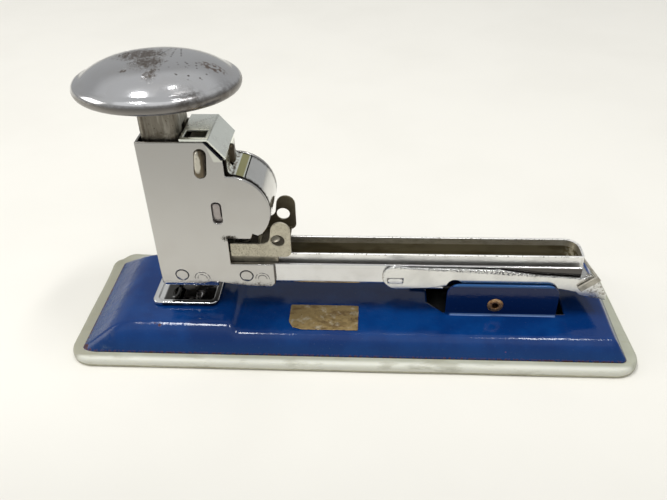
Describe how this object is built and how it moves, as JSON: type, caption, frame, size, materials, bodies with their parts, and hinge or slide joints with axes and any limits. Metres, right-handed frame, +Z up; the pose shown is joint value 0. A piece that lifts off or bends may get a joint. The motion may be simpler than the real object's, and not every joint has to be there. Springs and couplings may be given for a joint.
{
  "type": "desk stapler",
  "caption": "Desk stapler with a round push knob, open staple rail, sprung head on a hinge bracket, turning anvil and pressed base on a soft pad.",
  "frame": {"origin": "on the table under the middle of the base", "axes": "+X along the base from the head towards the hinge, +Y across it, +Z up"},
  "size_m": [0.181, 0.0562, 0.0921],
  "materials": {
    "pad": "satin, slightly yellowed",
    "blue_enamel": "gloss, chipped",
    "chrome": "mirror, lightly scratched and pitted",
    "worn_chrome": "mirror, pitted along its edges",
    "nickel": "aged, dull",
    "spring_steel": "dark, oiled",
    "brass_rivet": "tarnished",
    "foil_label": "scuffed foil, blank"
  },
  "bodies": {
    "base": {"base_pad": "pad", "base_pan": "blue_enamel", "label_plate": "foil_label", "hinge_pin": "brass_rivet", "lift_spring": "spring_steel", "anvil_spring": "spring_steel"},
    "magazine": {"hinge_bracket": "worn_chrome", "rear_clip": "nickel", "magazine_channel": "chrome", "core_rail": "worn_chrome", "head_housing": "chrome", "front_rivet_near": "chrome", "front_rivet_far": "chrome", "rear_rivet_near": "chrome", "rear_rivet_far": "chrome", "hood_cover": "chrome", "rear_cover": "chrome", "stem_guide": "nickel", "guide_lug_near": "nickel", "guide_lug_far": "nickel", "guide_lug_rear": "nickel", "spool_frame": "nickel", "spool_pin": "spring_steel", "tape_strip": "spring_steel", "plunger_spring": "spring_steel"},
    "plunger": {"knob_dome": "chrome", "knob_underside": "nickel", "knob_screw": "spring_steel", "plunger_stem": "nickel", "driver_blade": "spring_steel", "driver_rivet": "spring_steel"},
    "pusher": {"pusher": "nickel", "staple_follower": "nickel", "pusher_rivet_front": "nickel", "pusher_rivet_rear": "nickel"},
    "spool": {"tape_spool": "nickel", "tape_coil": "spring_steel"},
    "anvil_lifter": {"anvil_button": "nickel"},
    "anvil": {"anvil_plate": "chrome", "anvil_post": "spring_steel"}
  },
  "joints": [
    {"name": "magazine_hinge", "type": "hinge", "parent": "base", "child": "magazine", "pos_m": [0.04665, 0, 0.01324], "axis": [0, 1, 0], "range_deg": [-1.7, 8], "stiffness_Nm_per_rad": 6, "springref_deg": 1.72, "deforming": ["lift_spring"]},
    {"name": "plunger_press", "type": "slide", "parent": "magazine", "child": "plunger", "axis": [0, 0, -1], "range_m": [0, 0.0122], "stiffness_N_per_m": 500, "springref_m": -0.01, "deforming": ["plunger_spring"]},
    {"name": "pusher_slide", "type": "slide", "parent": "magazine", "child": "pusher", "axis": [1, 0, 0], "range_m": [0, 0.088], "stiffness_N_per_m": 10, "springref_m": -0.15, "deforming": ["tape_strip"]},
    {"name": "spool_spin", "type": "hinge", "parent": "magazine", "child": "spool", "pos_m": [-0.0356, 0, 0.0468], "axis": [0, -1, 0], "range_deg": [0, 620]},
    {"name": "anvil_lift", "type": "slide", "parent": "base", "child": "anvil_lifter", "axis": [0, 0, 1], "range_m": [0, 0.0012], "stiffness_N_per_m": 800, "springref_m": -0.004, "deforming": ["anvil_spring"]},
    {"name": "anvil_turn", "type": "hinge", "parent": "anvil_lifter", "child": "anvil", "pos_m": [-0.0544, 0, 0.01125], "axis": [0, 0, 1], "range_deg": [0, 180]}
  ],
  "couplings": [
    {"joint": "spool_spin", "follows": "pusher_slide", "rad_per_m": 120}
  ]
}
